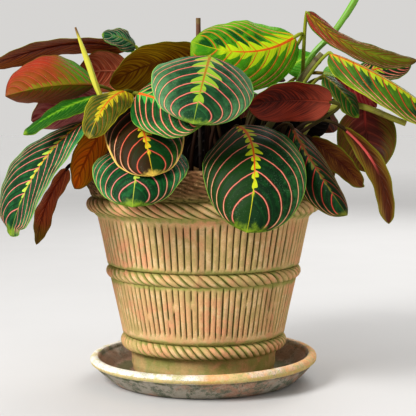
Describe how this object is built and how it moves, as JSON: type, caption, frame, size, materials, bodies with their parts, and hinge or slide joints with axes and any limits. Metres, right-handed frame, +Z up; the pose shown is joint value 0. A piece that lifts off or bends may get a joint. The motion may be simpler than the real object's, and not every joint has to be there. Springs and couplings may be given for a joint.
{
  "type": "potted prayer plant",
  "caption": "Bushy prayer plant with patterned drooping leaves, in a fluted and rope-banded terracotta pot that rests on a wide terracotta saucer.",
  "frame": {"origin": "centre of the flat underside of the saucer, on the surface that it stands on", "axes": "+Z up along the axis of the pot; the showy side of the plant faces -Y; +X to the right seen from that side"},
  "size_m": [0.3455, 0.2519, 0.3143],
  "materials": {
    "terracotta_saucer": "matte, mottled with pale mineral bloom, green algae and black specks",
    "terracotta_pot": "matte, weathered, with green algae in the recesses",
    "soil": "loose dark potting mix",
    "leaf_dark": "satin, deep green with coral veins and a lime herringbone",
    "leaf_olive": "satin, olive brown with red veins",
    "leaf_bright": "satin, lime green with orange veins",
    "leaf_copper": "satin, copper red with an olive herringbone",
    "leaf_under": "satin underside, maroon to brown",
    "leaf_mauve": "satin underside, mauve",
    "stem_green": "satin, yellow green with a brown cut end",
    "stem_brown": "woody, ringed with old leaf scars",
    "new_leaf": "satin, rolled young leaf, yellow green"
  },
  "bodies": {
    "root": {"saucer": "terracotta_saucer", "pot": "terracotta_pot", "soil": "soil", "leaf_front_centre": "leaf_dark", "leaf_front_low_left": "leaf_dark", "leaf_olive_half": "leaf_olive", "leaf_mint_left": "leaf_dark", "leaf_centre_top": "leaf_dark", "leaf_bright_top": "leaf_bright", "leaf_red_back_centre": "leaf_under", "leaf_right_fold": "leaf_dark", "leaf_brown_split": "leaf_under", "leaf_hang_right": "leaf_under", "leaf_round_right": "leaf_under", "leaf_dark_under": "leaf_under", "leaf_roll_right": "leaf_copper", "leaf_green_right": "leaf_bright", "leaf_long_left": "leaf_under", "leaf_copper_left": "leaf_copper", "leaf_mauve_left": "leaf_mauve", "leaf_green_edge_left": "leaf_bright", "leaf_big_left": "leaf_dark", "leaf_narrow_left": "leaf_under", "leaf_orange_left": "leaf_copper", "leaf_lime_curl": "leaf_bright", "leaf_mauve_back": "leaf_mauve", "leaf_olive_back": "leaf_olive", "leaf_curl_back": "leaf_dark", "leaf_green_gap": "leaf_bright", "leaf_blade_right": "leaf_bright", "leaf_pale_right": "leaf_bright", "leaf_pink_right": "leaf_mauve", "leaf_dark_back_right": "leaf_dark", "leaf_crown_centre": "leaf_bright", "leaf_inner_centre": "leaf_under", "leaf_inner_left": "leaf_under", "leaf_inner_right": "leaf_under", "leaf_crown_right": "leaf_dark", "leaf_crown_left": "leaf_dark", "leaf_upper_back_right": "leaf_dark", "leaf_upper_back_centre": "leaf_bright", "leaf_upper_back_left": "leaf_dark", "leaf_side_back_left": "leaf_dark", "leaf_low_back_right": "leaf_dark", "leaf_low_back_centre": "leaf_dark", "leaf_low_back_left": "leaf_olive", "leaf_low_side_left": "leaf_dark", "leaf_low_side_right": "leaf_dark", "stem_new_leaf_left": "new_leaf", "stem_new_leaf_right": "new_leaf", "stem_cane_right": "stem_brown", "stem_cut_stalk_right": "stem_green", "stem_dry_stub_back": "stem_brown"}
  },
  "joints": []
}
